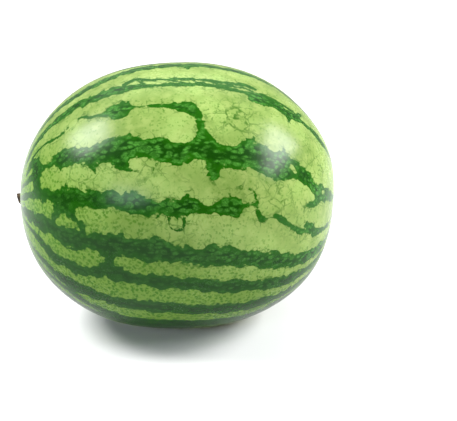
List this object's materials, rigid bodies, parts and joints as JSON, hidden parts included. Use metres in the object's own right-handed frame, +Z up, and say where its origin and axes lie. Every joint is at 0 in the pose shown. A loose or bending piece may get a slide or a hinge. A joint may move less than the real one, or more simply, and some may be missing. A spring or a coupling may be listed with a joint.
{
  "type": "watermelon",
  "caption": "Whole oval watermelon with a light green rind, jagged dark green stripes from end to end and a short dry stem stub, lying on the small flat spot on its belly.",
  "frame": {"origin": "middle of the flat spot that the fruit rests on, straight below the middle of its length", "axes": "+Z up; +X along the fruit's long axis, from the stem end to the blossom end; -Y is the side that the camera sees"},
  "size_m": [0.2991, 0.252, 0.2501],
  "materials": {
    "rind": "satin",
    "stem": "matte"
  },
  "bodies": {
    "root": {"watermelon": "rind", "stem_stub": "stem"}
  },
  "joints": []
}
